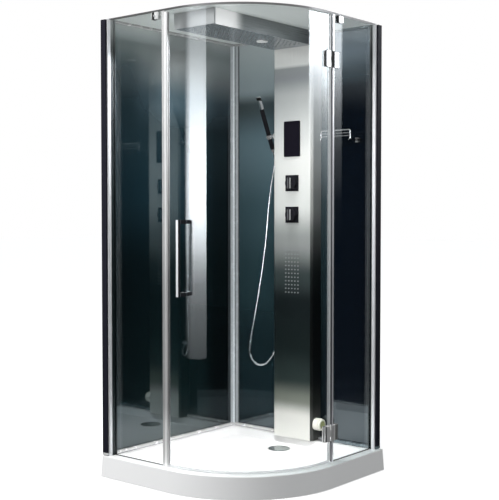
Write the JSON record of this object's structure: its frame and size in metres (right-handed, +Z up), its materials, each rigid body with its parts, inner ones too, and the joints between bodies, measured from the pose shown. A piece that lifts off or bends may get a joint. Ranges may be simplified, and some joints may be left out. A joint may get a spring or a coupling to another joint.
{
  "type": "steam shower cabin",
  "caption": "Quadrant steam shower cabin with a curved hinged glass door, dark glass walls, a shower column with an overhead rain box, and a white tray.",
  "frame": {"origin": "Bottom centre of the square tray footprint, on the floor under the levelling feet", "axes": "+Z up; the left wall stands at -X and runs along Y; the right wall stands at +Y and runs along X; the curved door faces +X -Y"},
  "size_m": [1, 1.005, 2.238],
  "materials": {
    "tray_acrylic": "gloss",
    "galvanised": "satin",
    "inner_plastic": "matt",
    "chrome": "polished",
    "wall_glass": "gloss",
    "black_aluminium": "satin",
    "polished_aluminium": "polished",
    "dark_seal": "matt",
    "roof_plastic": "satin",
    "clear_glass": "gloss",
    "clear_seal": "satin",
    "dark_metal": "satin",
    "brushed_steel": "brushed",
    "polished_steel": "polished",
    "screen_black": "gloss",
    "gloss_black": "gloss",
    "brass": "satin",
    "copper_pipe": "satin",
    "nozzle_rubber": "matt",
    "light_lens": "gloss",
    "white_plastic": "gloss",
    "olive_plastic": "gloss",
    "hose_chrome": "polished"
  },
  "bodies": {
    "cabin": {"tray_shell": "tray_acrylic", "tray_rails": "galvanised", "levelling_feet": "galvanised", "drain_body": "inner_plastic", "left_wall_glass": "wall_glass", "right_wall_glass": "wall_glass", "end_posts": "black_aluminium", "wall_channels": "polished_aluminium", "wall_rails": "polished_aluminium", "corner_post": "polished_aluminium", "tray_seals": "dark_seal", "roof_panel": "roof_plastic", "roof_clamps": "chrome", "left_fixed_glass": "clear_glass", "right_fixed_glass": "clear_glass", "glass_edge_strips": "polished_aluminium", "fixed_hinge_leaves": "chrome", "hinge_pins": "dark_metal", "fixed_screws": "chrome", "column_cover": "brushed_steel", "column_back_plate": "galvanised", "touch_screen": "screen_black", "control_box": "inner_plastic", "knob_plates": "gloss_black", "valve_bodies": "brass", "body_jets": "nozzle_rubber", "jet_manifold": "inner_plastic", "pipework": "copper_pipe", "water_inlets": "brass", "overhead_housing": "brushed_steel", "rain_plate": "polished_steel", "rain_nozzles": "nozzle_rubber", "rain_water_box": "inner_plastic", "overhead_light": "light_lens", "steam_generator": "galvanised", "steam_outlet": "white_plastic", "holder_stub": "chrome", "hose_outlet": "chrome", "shower_hose": "hose_chrome", "shelf_glass": "clear_glass", "shelf_rail": "chrome", "shelf_brackets": "chrome"},
    "door": {"door_glass": "clear_glass", "door_magnet_strip": "polished_aluminium", "door_hinge_seal": "clear_seal", "door_bottom_seal": "clear_seal", "door_handle_outside": "chrome", "door_handle_inside": "chrome", "door_hinge_leaves": "chrome", "door_screws": "chrome"},
    "mixer": {"mixer_knob": "gloss_black", "mixer_lever": "chrome"},
    "diverter": {"diverter_knob": "gloss_black", "diverter_lever": "chrome"},
    "holder": {"holder_collar": "chrome"},
    "handset": {"handset_head": "chrome", "handset_grip": "gloss_black", "hose_nut": "chrome"},
    "drain_lid": {"drain_cover": "chrome"},
    "aroma_lid": {"aroma_cap": "olive_plastic"}
  },
  "joints": [
    {"name": "door_swing", "type": "hinge", "parent": "cabin", "child": "door", "pos_m": [0.458, 0.1045, 1.1], "axis": [0, 0, 1], "range_deg": [0, 90]},
    {"name": "mixer_turn", "type": "hinge", "parent": "cabin", "child": "mixer", "pos_m": [0, 0.37, 1.451], "axis": [0, 1, 0], "range_deg": [-90, 90]},
    {"name": "diverter_turn", "type": "hinge", "parent": "cabin", "child": "diverter", "pos_m": [0, 0.37, 1.286], "axis": [0, 1, 0], "range_deg": [-120, 120]},
    {"name": "holder_tilt", "type": "hinge", "parent": "cabin", "child": "holder", "pos_m": [-0.165, 0.40515, 1.70159], "axis": [1, 0, 0], "range_deg": [-25, 10]},
    {"name": "handset_lift", "type": "slide", "parent": "holder", "child": "handset", "axis": [0, -0.4215, 0.9068], "range_m": [0, 0.08]},
    {"name": "drain_cover_lift", "type": "slide", "parent": "cabin", "child": "drain_lid", "axis": [0, 0, 1], "range_m": [0, 0.04]},
    {"name": "aroma_cap_pull", "type": "slide", "parent": "cabin", "child": "aroma_lid", "axis": [1, 0, 0], "range_m": [0, 0.04]}
  ]
}
